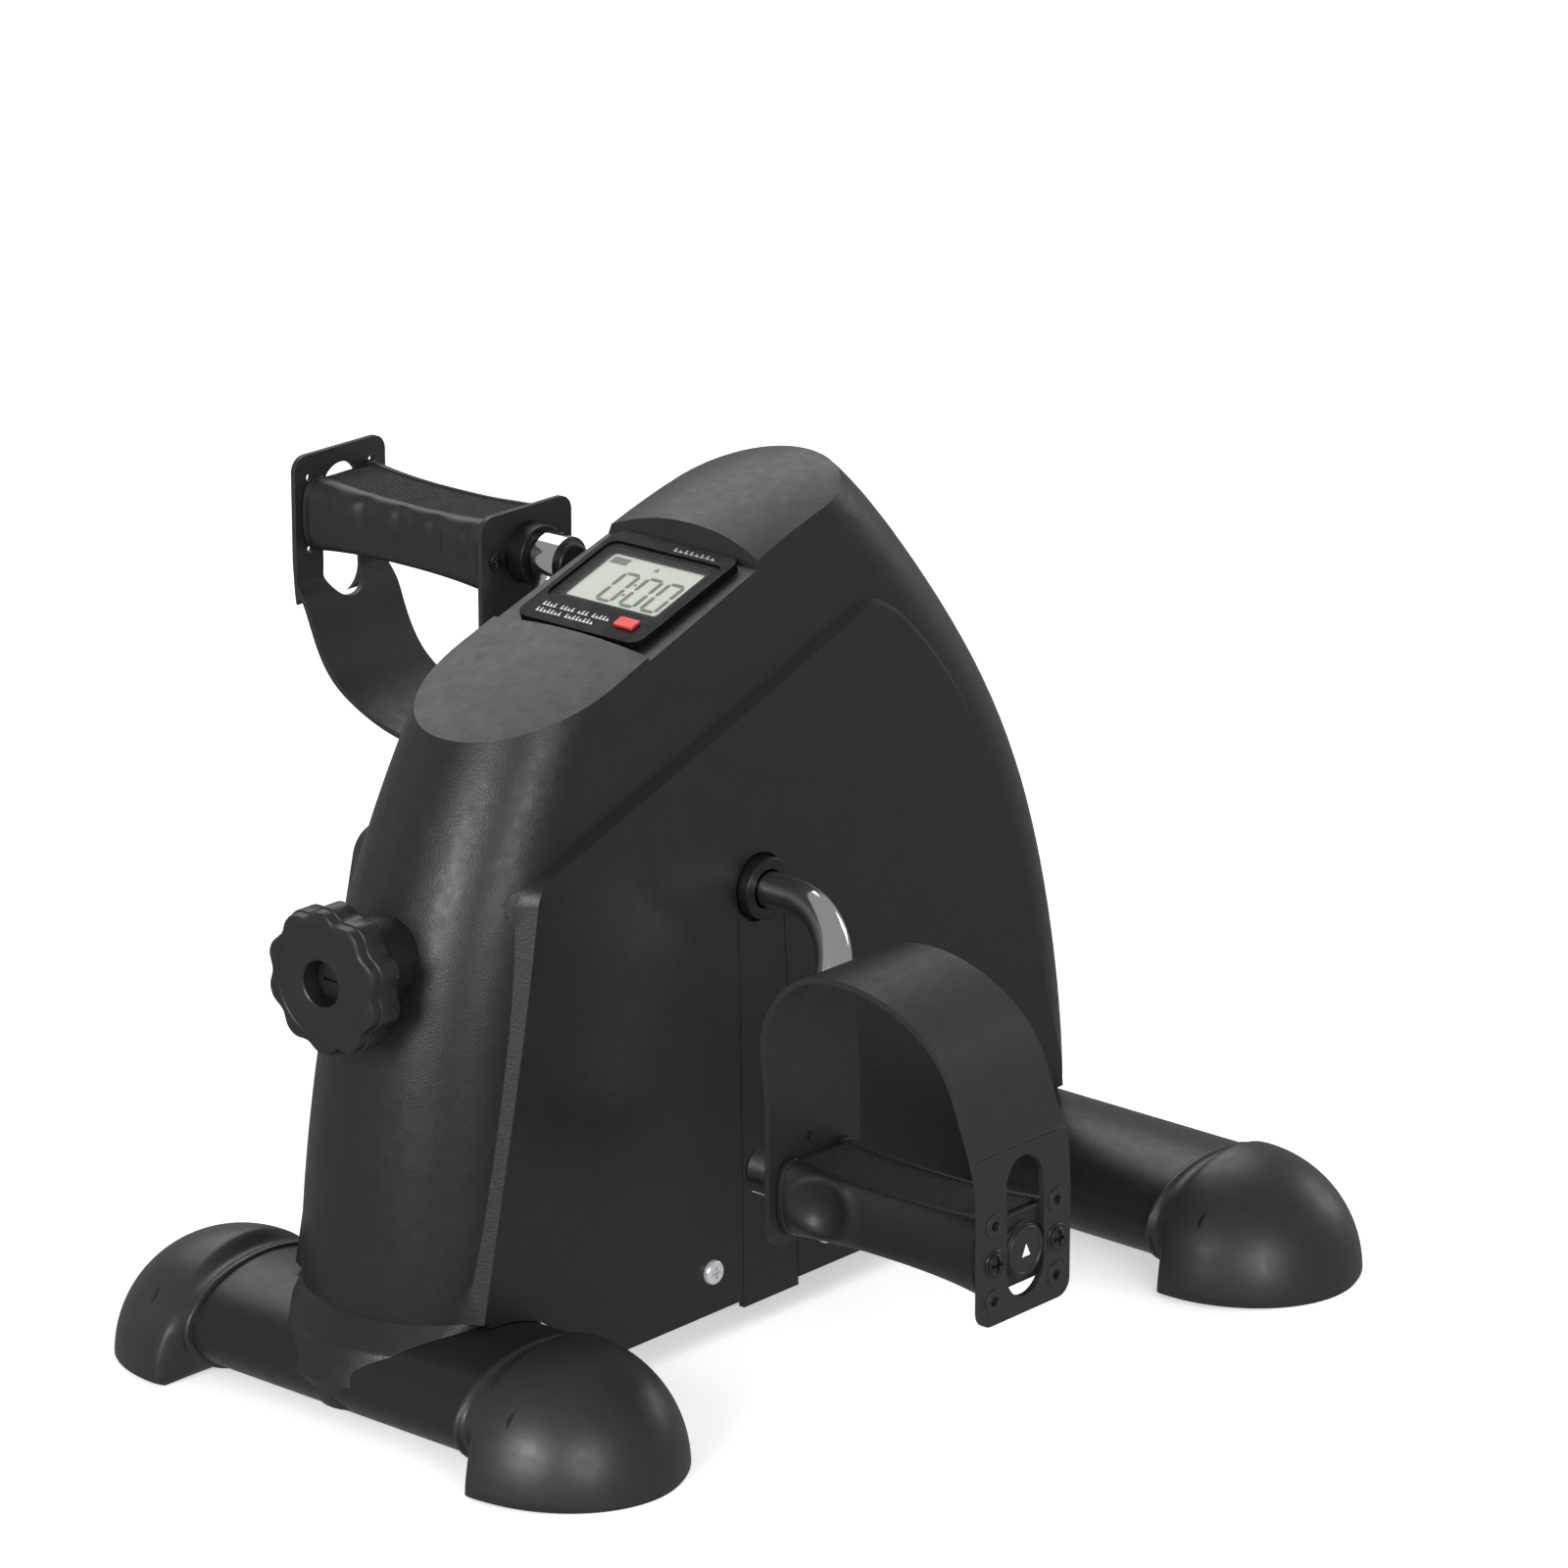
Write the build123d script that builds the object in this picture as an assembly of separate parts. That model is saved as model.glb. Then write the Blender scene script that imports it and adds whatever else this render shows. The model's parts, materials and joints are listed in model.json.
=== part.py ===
from build123d import *
from math import cos, sin, radians, tan
import os

# Pedal exerciser. Millimetres, +Z up, +X to the user's right pedal, -Y towards the user.
# The origin is on the floor under the middle of the machine.

# ---------------------------------------------------------------- feet
TUBE_Y = 149.5            # distance of each foot tube from the middle
TUBE_HALF_Y = 37.0        # oval foot tube, half its size front to back
TUBE_HALF_Z = 20.0        # and half its height
TUBE_Z = 21.0             # height of the tube's centre line
TUBE_WALL = 1.8
FRONT_RIM_X = 76.0        # inner rim of the front foot caps
REAR_RIM_X = 138.0        # inner rim of the rear foot caps
CAP_HALF_Y = 45.0
CAP_HEIGHT = 46.0
CAP_REACH = 47.0          # from rim to the tip of the dome
CAP_WALL = 3.0
NECK_LENGTH = 12.0        # collar of the cap round the tube

# ---------------------------------------------------------------- housing
SEAM_Z = 43.5             # seam between the housing and the saddles on the tubes
TUBE_GAP = 0.4            # clearance of the housing's wall round the foot tubes
HOUSING_BOTTOM = 12.0
WALL = 2.5
TILT = 18.55              # slope of the top and of the monitor, degrees
TOP_Y, TOP_Z = -123.0, 238.1      # lowest point of the sloping top, at its front edge
RECESS_FRONT, RECESS_REAR = -57.0, 1.0
RECESS_DEPTH = 1.5
RECESS_LEAN = 3.2         # how far the wall under the hump leans back, over RECESS_RISE
RECESS_RISE = 9.0
LENS_CROWN = 2.5          # crown of the top in front of the monitor
LENS_LENGTH = 66.0
HUMP_CROWN = 7.4          # crown of the hump behind the monitor
HUMP_LENGTH = 66.0
PANEL_X = 45.5            # outer face of the raised side panels
PANEL_BASE_X = 28.0       # where its bevelled sides start, inside the body
PANEL_BEVEL = 28.0        # slope of the panel's edge, degrees
SHOULDER_R = 9.0          # rounding of the panel's front corner
LEAN_Z = 120.0            # above this height the panel's face curves inwards
LEAN_R = 1700.0

# ---------------------------------------------------------------- crank and pedals
CRANK_Y, CRANK_Z = -8.5, 166.0
ROD_R = 6.5
ARM_X = 88.0
ARM_LENGTH = 94.2
ARM_TILT = 25.5           # of the right arm, forward from straight down
BEND_R = 28.0
EYE_R, EYE_THICK = 9.5, 10.4
PIN_R = 5.0
RUNNING = 0.05            # radial clearance of a running fit
PEDAL_IN, PEDAL_OUT = 106.0, 198.5
STRAP_T, STRAP_W = 2.2, 48.0
HOLE_PITCH = 13.7

# ---------------------------------------------------------------- tension control
KNOB_R, KNOB_FACE_Y, KNOB_DEPTH = 26.8, -184.0, 13.5
SCREW_R = 4.0
DRUM_R, DRUM_HALF_X = 27.0, 9.0
SLACK = 2.5               # how far the slack brake band stands behind the drum

# ---------------------------------------------------------------- monitor
MON_Y = -26.5
MON_SIZE, MON_LIP = 58.0, 3.2
MON_BODY, MON_DEPTH = 49.6, 16.0


def top_z(y):
    """Height of the sloping top plane at y."""
    return TOP_Z + (y - TOP_Y) * tan(radians(TILT))


def arm_end(side):
    """Y and Z of the pedal pin: side +1 is the right pedal, -1 the left one."""
    a = radians(ARM_TILT)
    return CRANK_Y - side * ARM_LENGTH * sin(a), CRANK_Z - side * ARM_LENGTH * cos(a)


def x_rod(r, x0, x1, y, z):
    """Round bar along X."""
    return Pos((x0 + x1) / 2, y, z) * Rot(0, 90, 0) * Cylinder(r, abs(x1 - x0))


def y_rod(r, y0, y1, x, z):
    """Round bar along Y."""
    return Pos(x, (y0 + y1) / 2, z) * Rot(90, 0, 0) * Cylinder(r, abs(y1 - y0))


def z_rod(r, z0, z1, x, y):
    """Round bar along Z."""
    return Pos(x, y, (z0 + z1) / 2) * Cylinder(r, abs(z1 - z0))


def block(x0, x1, y0, y1, z0, z1):
    return Pos((x0 + x1) / 2, (y0 + y1) / 2, (z0 + z1) / 2) * Box(x1 - x0, y1 - y0, z1 - z0)


def body_section(z, half, front, front_depth, rear, rear_depth, inset=0.0):
    """Horizontal outline of the housing: straight sides with an elliptical nose and tail."""
    w = half - inset
    fb, rb = front_depth - inset, rear_depth - inset
    yf, yr = front + front_depth, rear - rear_depth
    nose = EllipticalCenterArc((0, yf, z), w, fb, start_angle=180, arc_size=180)
    tail = EllipticalCenterArc((0, yr, z), w, rb, start_angle=0, arc_size=180)
    outline = Wire([nose, Line(nose @ 1, tail @ 0), tail, Line(tail @ 1, nose @ 0)])
    return Face(outline)


# height, half width, front tip and its depth, rear tip and its depth
STATIONS = [
    (8.0, 42.5, -174.5, 30.0, 188.0, 30.0),
    (45.0, 42.3, -174.0, 30.0, 187.5, 30.0),
    (84.0, 42.0, -171.5, 31.0, 184.0, 31.0),
    (125.0, 41.6, -165.5, 33.0, 176.5, 33.0),
    (162.0, 41.0, -156.5, 35.0, 166.0, 36.0),
    (200.0, 39.8, -142.0, 36.5, 149.0, 39.0),
    (240.0, 38.0, -121.0, 38.0, 123.0, 42.0),
    (275.0, 35.4, -98.0, 38.0, 95.0, 43.0),
    (312.0, 31.5, -71.0, 36.0, 53.0, 42.0),
]


def body_solid(inset=0.0):
    """The housing's body before its top is cut."""
    return loft([body_section(*station, inset) for station in STATIONS])


def above_dome(y0, y1, crown, length, power, drop=0.0):
    """Everything above a crowned stretch of the top, from y0 to y1."""
    sections = []
    steps = 6
    reach = 60.0
    fall = crown * (reach / 37.0) ** 2
    inner = y0 if abs(y0) < abs(y1) else y1
    for i in range(steps + 1):
        y = y0 + (y1 - y0) * i / steps
        along = abs(y - inner) / length
        z = top_z(y) + crown * (1 - along ** power) - drop
        arc = ThreePointArc((-reach, y, z - fall), (0, y, z), (reach, y, z - fall))
        sides = Polyline((reach, y, z - fall), (reach, y, 420), (-reach, y, 420), (-reach, y, z - fall))
        sections.append(Face(Wire([arc, *sides.edges()])))
    return loft(sections)


def above_recess(drop):
    """Everything above the flat recess that holds the monitor."""
    y0, y1 = RECESS_FRONT, RECESS_REAR
    z0, z1 = top_z(y0) - drop, top_z(y1) - drop
    lip_y = y1 + RECESS_LEAN
    side = Polyline((0, y0, z0), (0, y1, z1), (0, lip_y, z1 + RECESS_RISE), (0, lip_y, 420), (0, y0, 420),
                    close=True)
    return extrude(Face(Wire(side.edges())), 60, dir=(1, 0, 0), both=True)


def cut_top(solid, drop=0.0):
    solid -= above_dome(RECESS_FRONT, -215, LENS_CROWN, LENS_LENGTH, 2.0, drop)
    solid -= above_recess(RECESS_DEPTH + drop)
    solid -= above_dome(RECESS_REAR, 215, HUMP_CROWN, HUMP_LENGTH, 2.5, drop)
    return solid


def panel_outline(x, grow):
    """Outline of a side panel in the plane at x; it runs below the housing's bottom edge."""
    g = grow
    foot_front, foot_rear = (x, -166 - g, -20), (x, 165 + g, -20)
    shoulder = (x, -119 - g, 193 + 0.3 * g)
    crest, brow, back, hip = (x, 52, 248.5 + g), (x, 78 + g, 235 + g), (x, 133 + g, 140), (x, 155 + g, 70)
    front = Line(foot_front, shoulder)
    diagonal = Line(shoulder, crest)
    rear = Spline([crest, brow, back, hip, foot_rear], tangents=[diagonal % 1, (0, 0.06, -1)])
    outline = Face(Wire([front, diagonal, rear, Line(foot_rear, foot_front)]))
    corner = outline.vertices().sort_by_distance(shoulder)[0:1]
    return fillet(corner, SHOULDER_R + g).face()


def within_lean(side, inset=0.0):
    """Everything inside the gently leaning face of a side panel."""
    face_x = PANEL_X - inset
    curve = Pos(side * (face_x - LEAN_R), 0, LEAN_Z) * Rot(90, 0, 0) * Cylinder(LEAN_R, 500)
    upper = curve & block(*sorted((0, side * 100)), -250, 250, LEAN_Z, 400)
    return upper + block(*sorted((0, side * face_x)), -250, 250, -30, LEAN_Z)


def panel_solid(side, face_x, inset=0.0):
    """Raised side panel, wider at its base, where it is buried in the body."""
    height = face_x - PANEL_BASE_X
    face = panel_outline(side * face_x, 1.0 - inset)
    base = panel_outline(side * PANEL_BASE_X, 1.0 - inset + height * tan(radians(PANEL_BEVEL)))
    return loft([base, face], ruled=True) & within_lean(side, inset)


SLOT_TOP, SLOT_BOTTOM = 12.0, 15.3    # half widths of the slot at the crank and at the bottom
SLOT_Y = -2.7
HOLE_R = 12.5


def slot_prism(side, x0, x1, shrink=0.0, z0=0.0):
    """The slot below the crank hole, as a prism from x0 to x1 that starts at height z0."""
    outline = Polyline(
        (0, CRANK_Y - SLOT_TOP + shrink, CRANK_Z), (0, SLOT_Y - SLOT_BOTTOM + shrink, 0),
        (0, SLOT_Y + SLOT_BOTTOM - shrink, 0), (0, CRANK_Y + SLOT_TOP - shrink, CRANK_Z), close=True)
    solid = Pos(x0, 0, 0) * extrude(Face(Wire(outline.edges())), x1 - x0, dir=(1, 0, 0))
    solid -= block(x0 - 1, x1 + 1, -60, 60, -10, z0)
    return solid if side > 0 else mirror(solid, about=Plane.YZ)


SCREW_SPOTS = [(-35.0, 28.0), (26.5, 25.5)]    # housing screws: y and z


def housing_outer():
    return cut_top(body_solid()) + panel_solid(1, PANEL_X) + panel_solid(-1, PANEL_X)


def housing_cover(outer):
    inner = cut_top(body_solid(WALL), WALL)
    for side in (1, -1):
        inner += panel_solid(side, PANEL_X - WALL, WALL)
    cover = outer - inner
    cover -= block(-60, 60, -200, 200, -20, HOUSING_BOTTOM)
    for sign in (-1, 1):
        cover -= tube_solid(60, sign * TUBE_Y, TUBE_GAP)
        cover -= block(-60, 60, *sorted((sign * TUBE_Y, sign * 210)), -20, SEAM_Z)
        near = sign * (TUBE_Y - TUBE_HALF_Y - TUBE_GAP)
        cover -= block(-60, 60, *sorted((near, sign * 210)), -20, TUBE_Z)
    for sign in (-1, 1):
        cover -= x_rod(HOLE_R, sign * 30, sign * 60, CRANK_Y, CRANK_Z)
        cover -= slot_prism(sign, 30, 60)
        for y, z in SCREW_SPOTS:
            cover -= x_rod(2.2, sign * 30, sign * 60, y, z)
    cover -= y_rod(6.0, -190, -120, 0, CRANK_Z)
    cover -= monitor_plane() * Pos(0, 0, -10) * Box(MON_BODY + 0.4, MON_BODY + 0.4, 30)
    return cover


def slot_cover(side):
    """Strip in the slot, with a wider flange behind the wall."""
    strip = slot_prism(side, PANEL_X - WALL, PANEL_X, 0.3, 9.0)
    flange = slot_prism(side, PANEL_X - WALL - 2.5, PANEL_X - WALL, -4.0, 14.0)
    flange -= x_rod(HOLE_R + 3.4, side * 30, side * 60, CRANK_Y, CRANK_Z)
    strip += flange & within_lean(side, WALL + 0.1)
    strip -= x_rod(HOLE_R + 0.2, side * 30, side * 60, CRANK_Y, CRANK_Z)
    return strip & within_lean(side)


def tube_solid(half_length, centre_y, grow=0.0):
    section = Plane.YZ * Pos(centre_y, TUBE_Z) * Ellipse(TUBE_HALF_Y + grow, TUBE_HALF_Z + grow)
    return extrude(section, half_length, both=True)


def foot_tube(sign, rim):
    bar = tube_solid(rim + 10, sign * TUBE_Y)
    bar -= tube_solid(rim + 20, sign * TUBE_Y, -TUBE_WALL)
    for x in (-12, 12):
        bar -= z_rod(3.1, TUBE_Z, TUBE_Z + 30, x, sign * TUBE_Y)
    return bar


def foot_cap(side, sign, rim):
    """Quarter dome with a flat bottom, a rounded lip and a collar round the tube."""
    def dome(shrink):
        ball = Sphere(1.0)
        ball = scale(ball, by=(CAP_REACH - shrink, CAP_HALF_Y - shrink, CAP_HEIGHT - shrink))
        return ball & block(0, 60, -60, 60, 0, 60)
    lip = Ellipse(CAP_HALF_Y, CAP_HEIGHT) & Pos(0, 30) * Rectangle(120, 60)
    cap = dome(0) + extrude(Plane.YZ * lip, -4)
    cap = fillet(cap.edges().filter_by(GeomType.ELLIPSE).sort_by(Axis.X)[0], 2.5)
    collar = Plane.YZ * Pos(0, TUBE_Z) * Ellipse(TUBE_HALF_Y + 2.6, TUBE_HALF_Z + 1.0)
    cap += extrude(collar, -NECK_LENGTH) & block(-60, 0, -60, 60, 0, 60)
    hollow = dome(CAP_WALL) & block(CAP_WALL, 60, -60, 60, CAP_WALL, 60)
    cap -= hollow
    cap = Pos(rim, sign * TUBE_Y, 0) * cap
    if side < 0:
        cap = mirror(cap, about=Plane.YZ)
    return cap - tube_solid(rim + 10, sign * TUBE_Y)


def saddle(sign):
    """Apron that tapers from the housing's nose or tail down the front of its foot tube."""
    tip = STATIONS[1][2] if sign < 0 else -STATIONS[1][4]
    def skin(inset):
        def outline(z, half, front, depth):
            arc = EllipticalCenterArc((0, front + depth, z), half - inset, depth - inset,
                                      start_angle=180, arc_size=180)
            back = Polyline(arc @ 1, (half - inset, -115, z), (inset - half, -115, z), arc @ 0)
            return Face(Wire([arc, *back.edges()]))
        return loft([outline(SEAM_Z, 42.3, tip, 30.0), outline(34.0, 39.0, -183.5, 24.0),
                     outline(22.0, 31.0, -188.6, 18.0), outline(10.0, 10.0, -182.5, 7.0)], ruled=True)
    piece = skin(0) - skin(2.5)
    if sign > 0:
        piece = Rot(0, 0, 180) * piece
    piece -= tube_solid(120, sign * TUBE_Y, 0.1)
    return max(piece.solids(), key=lambda solid: solid.volume)


# ---------------------------------------------------------------- frame inside the housing
BEAM_HALF_X, BEAM_TOP = 20.0, 61.0
BEAM_BOTTOM = TUBE_Z + TUBE_HALF_Z
UPRIGHT_T = 4.0
BUSH_R = 13.0


def main_beam():
    beam = block(-BEAM_HALF_X, BEAM_HALF_X, -160, 165, BEAM_BOTTOM, BEAM_TOP)
    beam -= block(-BEAM_HALF_X + 2, BEAM_HALF_X - 2, -170, 170, BEAM_BOTTOM + 2, BEAM_TOP - 2)
    for x in (-12, 12):
        for sign in (-1, 1):
            beam -= z_rod(3.1, 30, 80, x, sign * TUBE_Y)
    return beam


def frame_upright(side):
    """Side plate of the frame, wide at the beam and round at the crank."""
    x0, x1 = sorted((side * BEAM_HALF_X, side * (BEAM_HALF_X + UPRIGHT_T)))
    top = x_rod(19, x0, x1, CRANK_Y, CRANK_Z)
    leg = Polyline((0, -44, BEAM_BOTTOM), (0, 30, BEAM_BOTTOM), (0, 30, BEAM_TOP),
                   (0, CRANK_Y + 19, CRANK_Z), (0, CRANK_Y - 19, CRANK_Z), (0, -44, BEAM_TOP), close=True)
    leg = Pos(x0, 0, 0) * extrude(Face(Wire(leg.edges())), x1 - x0, dir=(1, 0, 0))
    return top + leg - x_rod(BUSH_R, side * 10, side * 40, CRANK_Y, CRANK_Z)


def crank_bearing(side):
    bush = x_rod(BUSH_R, side * 17, side * 30, CRANK_Y, CRANK_Z)
    bush += x_rod(BUSH_R + 3, side * (BEAM_HALF_X + UPRIGHT_T), side * 27, CRANK_Y, CRANK_Z)
    return bush - x_rod(ROD_R + RUNNING, side * 10, side * 40, CRANK_Y, CRANK_Z)


POST_Y = -132.0


def screw_post():
    """Steel post that the tension screw pulls against."""
    post = block(-15, 15, POST_Y, POST_Y + 4, BEAM_TOP, CRANK_Z + 14)
    post += block(-15, 15, POST_Y, POST_Y + 30, BEAM_TOP, BEAM_TOP + 4)
    return post - y_rod(SCREW_R + RUNNING, POST_Y - 5, POST_Y + 10, 0, CRANK_Z)


def foot_bolts():
    bolts = []
    for sign in (-1, 1):
        for x in (-12, 12):
            y = sign * TUBE_Y
            head = Pos(x, y, BEAM_TOP + 2) * extrude(RegularPolygon(5.5, 6), 4, both=False)
            washer = z_rod(6.5, BEAM_TOP, BEAM_TOP + 2, x, y)
            bolts.append(head + washer + z_rod(3.0, 30, BEAM_TOP + 2, x, y))
    return Compound(children=bolts)


def foot_nuts():
    nuts = []
    inner_top = TUBE_Z + TUBE_HALF_Z - TUBE_WALL
    for sign in (-1, 1):
        for x in (-12, 12):
            nut = Pos(x, sign * TUBE_Y, inner_top - 6.6) * extrude(RegularPolygon(5.5, 6), 5)
            nuts.append(nut - z_rod(3.0, 20, 50, x, sign * TUBE_Y))
    return Compound(children=nuts)


def cross_brackets():
    """Two strips under the beam that the housing screws bite into."""
    strips = []
    for y, z in SCREW_SPOTS:
        strip = block(-42, 42, y - 6, y + 6, z - 6, z + 6) - block(-39, 39, y - 7, y + 7, z - 4, z + 7)
        strip += block(-16, 16, y - 6, y + 6, z - 6, BEAM_BOTTOM)
        for side in (-1, 1):
            strip -= x_rod(1.9, side * 30, side * 50, y, z)
        strips.append(strip)
    return Compound(children=strips)


def cross_head_screw(side, y, z, seat, tip):
    head = x_rod(4.5, side * seat, side * (seat + 2.2), y, z)
    head = fillet(head.edges().sort_by(Axis.X)[-1 if side > 0 else 0], 1.4)
    head -= Pos(side * (seat + 2.2), y, z) * Box(2.4, 4.6, 1.1)
    head -= Pos(side * (seat + 2.2), y, z) * Box(2.4, 1.1, 4.6)
    return head + x_rod(1.9, side * tip, side * seat, y, z)


def housing_screws():
    return Compound(children=[cross_head_screw(side, y, z, PANEL_X, 37.0)
                              for side in (-1, 1) for y, z in SCREW_SPOTS])


def crank_grommet(side):
    """Flanged collar that lines the hole in the housing."""
    inside = PANEL_X - WALL
    ring = x_rod(HOLE_R + 3, side * (inside - 3.5), side * (inside - 0.1), CRANK_Y, CRANK_Z)
    ring &= within_lean(side, WALL + 0.1)
    ring += x_rod(HOLE_R - 1.2, side * (inside - 2.2), side * (PANEL_X + 3.5), CRANK_Y, CRANK_Z)
    return ring - x_rod(ROD_R + 0.6, side * 30, side * 70, CRANK_Y, CRANK_Z)


# ---------------------------------------------------------------- tension control
def lobed_disc(depth):
    """Knob blank: ten lobes round a disc, in the XZ plane."""
    lobes, r = 10, KNOB_R
    profile = Circle(r - 2.5)
    for i in range(lobes):
        profile += Rot(0, 0, i * 360 / lobes) * Pos(r - 5.5, 0) * Circle(5.5)
    return extrude(profile, depth)


def tension_knob():
    knob = lobed_disc(KNOB_DEPTH)
    knob = Pos(0, KNOB_FACE_Y + KNOB_DEPTH, CRANK_Z) * Rot(90, 0, 0) * knob
    knob -= y_rod(8.2, KNOB_FACE_Y - 1, KNOB_FACE_Y + 9, 0, CRANK_Z)
    return knob - y_rod(SCREW_R, KNOB_FACE_Y, KNOB_FACE_Y + 40, 0, CRANK_Z)


def tension_screw():
    screw = y_rod(SCREW_R, KNOB_FACE_Y + 7, -70, 0, CRANK_Z)
    head = y_rod(6.5, KNOB_FACE_Y + 6, KNOB_FACE_Y + 9, 0, CRANK_Z)
    head -= Pos(0, KNOB_FACE_Y + 6, CRANK_Z) * Box(8, 2.4, 1.4)
    return screw + head


def screw_clip():
    """Ring on the screw behind the post, so that the knob cannot pull out."""
    return y_rod(7.0, POST_Y + 4.3, POST_Y + 6.3, 0, CRANK_Z) - y_rod(SCREW_R, -150, -100, 0, CRANK_Z)


def knob_collar(outer):
    collar = y_rod(16.0, KNOB_FACE_Y + KNOB_DEPTH + 1, -135, 0, CRANK_Z)
    return collar - outer - y_rod(SCREW_R + 0.5, -200, -100, 0, CRANK_Z)


def band_loop(inner, outer, half_x, front):
    """U-shaped strip round the back of the drum, open to the front."""
    yc = CRANK_Y + SLACK
    def solid(r, w):
        return x_rod(r, -w, w, yc, CRANK_Z) + block(-w, w, front, yc, CRANK_Z - r, CRANK_Z + r)
    return solid(outer, half_x) - solid(inner, half_x + 1) - block(-20, 20, front - 40, front, 100, 230)


CLAMP_Y = -73.0
LINING_IN, LINING_OUT, BAND_OUT = 27.4, 29.4, 30.4


def brake_lining():
    return band_loop(LINING_IN, LINING_OUT, 7.0, -42.0)


def brake_band():
    return band_loop(LINING_OUT, BAND_OUT, 8.0, CLAMP_Y)


def band_clamp():
    plate = block(-9, 9, CLAMP_Y - 3, CLAMP_Y, CRANK_Z - 33, CRANK_Z + 33)
    return plate - y_rod(SCREW_R + 1.0, -90, -60, 0, CRANK_Z)


def tension_nut():
    nut = block(-8, 8, CLAMP_Y - 15, CLAMP_Y - 3, CRANK_Z - 8, CRANK_Z + 8)
    return nut - y_rod(SCREW_R + RUNNING, -100, -60, 0, CRANK_Z)


# ---------------------------------------------------------------- crank
def crank_rod():
    y1, z1 = arm_end(1)
    y0, z0 = arm_end(-1)
    path = FilletPolyline((-ARM_X, y0, z0), (-ARM_X, CRANK_Y, CRANK_Z),
                          (ARM_X, CRANK_Y, CRANK_Z), (ARM_X, y1, z1), radius=BEND_R)
    start = Plane(origin=path @ 0, z_dir=path % 0)
    rod = sweep(start * Circle(ROD_R), path=path)
    for side in (-1, 1):
        y, z = arm_end(side)
        half = EYE_THICK / 2
        for x0, x1 in ((-20, -half), (half, 20)):
            rod -= x_rod(EYE_R + 3, side * (ARM_X + x0), side * (ARM_X + x1), y, z)
        rod += x_rod(EYE_R, side * (ARM_X - half), side * (ARM_X + half), y, z)
        rod -= x_rod(PIN_R, side * (ARM_X - 20), side * (ARM_X + 20), y, z)
    return rod


def friction_drum():
    drum = x_rod(DRUM_R, -DRUM_HALF_X, DRUM_HALF_X, CRANK_Y, CRANK_Z)
    drum -= x_rod(3.0, 6.0, 12.0, CRANK_Y + 20, CRANK_Z)
    return drum - x_rod(ROD_R, -20, 20, CRANK_Y, CRANK_Z)


def drum_magnet():
    return x_rod(3.0, 6.0, DRUM_HALF_X, CRANK_Y + 20, CRANK_Z)


def crank_rings():
    rings = [x_rod(10.5, side * 30.3, side * 33.3, CRANK_Y, CRANK_Z)
             - x_rod(ROD_R, side * 20, side * 40, CRANK_Y, CRANK_Z) for side in (-1, 1)]
    return Compound(children=rings)


def pedal_pins():
    pins = []
    for side in (-1, 1):
        y, z = arm_end(side)
        eye = EYE_THICK / 2
        pin = x_rod(PIN_R, side * (ARM_X - eye), side * 190, y, z)
        pin += x_rod(7.5, side * (ARM_X + eye), side * (ARM_X + eye + 2.5), y, z)
        pins.append(pin)
    return Compound(children=pins)


def pin_caps():
    """Black cap on the inner end of each pedal pin."""
    caps = []
    for side in (-1, 1):
        y, z = arm_end(side)
        end = ARM_X - EYE_THICK / 2
        cap = x_rod(7.6, side * (end - 3), side * end, y, z)
        caps.append(fillet(cap.edges().sort_by(Axis.X)[0 if side > 0 else -1], 1.5))
    return Compound(children=caps)


# ---------------------------------------------------------------- pedals
def pedal_section(x, half_y, half_z, corner):
    return Plane.YZ.offset(x) * RectangleRounded(2 * half_y, 2 * half_z, corner)


def place_pedal(shape, side):
    """Moves a pedal piece, modelled about the X axis at the right, to its crank arm."""
    y, z = arm_end(side)
    if side < 0:
        shape = Rot(180, 0, 0) * mirror(shape, about=Plane.YZ)
    return Pos(0, y, z) * shape


def place_group(shapes, side):
    return Compound(children=[place_pedal(shape, side) for shape in shapes])


def pedal_body(side):
    stations = [(PEDAL_IN, 21.5, 14.5, 9), (118, 20.5, 13.8, 10), (140, 17.8, 12.3, 10.5),
                (164, 17.2, 12.0, 10.5), (186, 20.0, 13.6, 10), (PEDAL_OUT, 21.5, 14.5, 9)]
    grip = loft([Face(Wire(pedal_section(*station).edges())) for station in stations])
    grip += x_rod(9.6, PEDAL_OUT - 2, PEDAL_OUT + STRAP_T, 0, 0)
    grip -= x_rod(PIN_R + RUNNING, 90, 190.3, 0, 0)
    for sign in (-1, 1):
        grip -= block(PEDAL_IN + 5, PEDAL_OUT - 5, -12, 12, *sorted((sign * 10.2, sign * 20)))
    for x0, x1 in ((PEDAL_IN - 5, PEDAL_IN + 14), (PEDAL_OUT - 14, PEDAL_OUT + 5)):
        for y in (-16.5, 16.5):
            grip -= x_rod(1.6, x0, x1, y, 0)
    return place_pedal(grip, side)


def tread_pads(side):
    pads = []
    for sign in (-1, 1):
        z0, z1 = sorted((sign * 10.2, sign * 12.4))
        pads.append(block(PEDAL_IN + 5.1, PEDAL_OUT - 5.1, -11.9, 11.9, z0, z1))
    return place_group(pads, side)


def medallion(side):
    disc = x_rod(9.0, PEDAL_OUT + STRAP_T, PEDAL_OUT + STRAP_T + 0.8, 0, 0)
    return place_pedal(disc, side)


LOOP_TOP = 88.5           # top of the strap above the pedal pin
LEFT_SAG = 12.5           # how much lower the left strap's loop stands
TAB_END = -22.5           # end of the strap's outer tab


def tab_and_arch(x0, x1, arch, bottom):
    """Area under an arch that stands on two straight tabs."""
    start, end = arch @ 0, arch @ 1
    feet = Polyline(end, (x1, 0, bottom), (x0, 0, bottom), start)
    return Face(Wire([arch, *feet.edges()]))


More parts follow.
